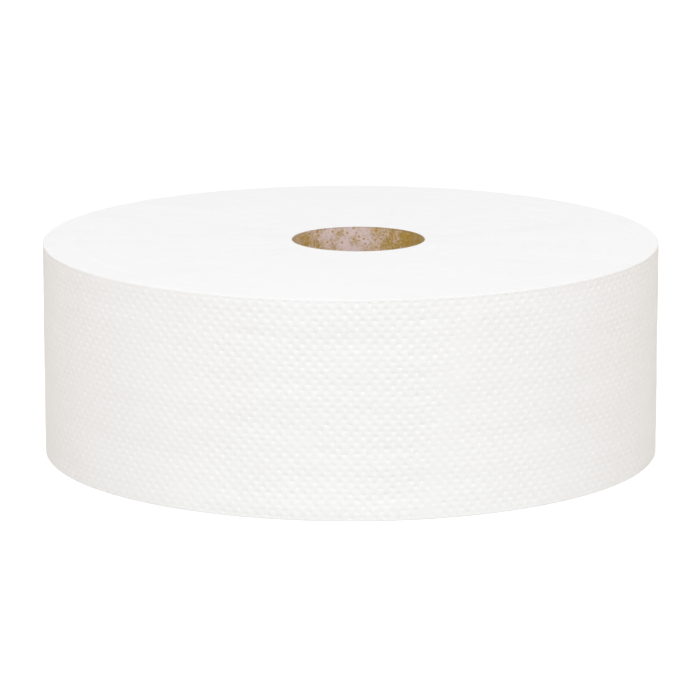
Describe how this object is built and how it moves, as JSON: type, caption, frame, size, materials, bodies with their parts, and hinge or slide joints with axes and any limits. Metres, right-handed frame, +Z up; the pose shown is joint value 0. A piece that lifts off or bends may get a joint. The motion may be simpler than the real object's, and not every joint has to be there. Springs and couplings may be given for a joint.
{
  "type": "toilet paper roll",
  "caption": "Jumbo toilet paper roll for a dispenser: a wide drum of white embossed paper wound on a kraft board core, standing on one end.",
  "frame": {"origin": "middle of the lower end, on the surface that the roll stands on", "axes": "+Z up along the core; -Y faces the camera of the picture; the core sits off the middle towards +X"},
  "size_m": [0.2747, 0.2744, 0.095],
  "materials": {
    "tissue": "matt",
    "core_board": "matt"
  },
  "bodies": {
    "root": {"tissue_roll": "tissue", "core_tube": "core_board"}
  },
  "joints": []
}
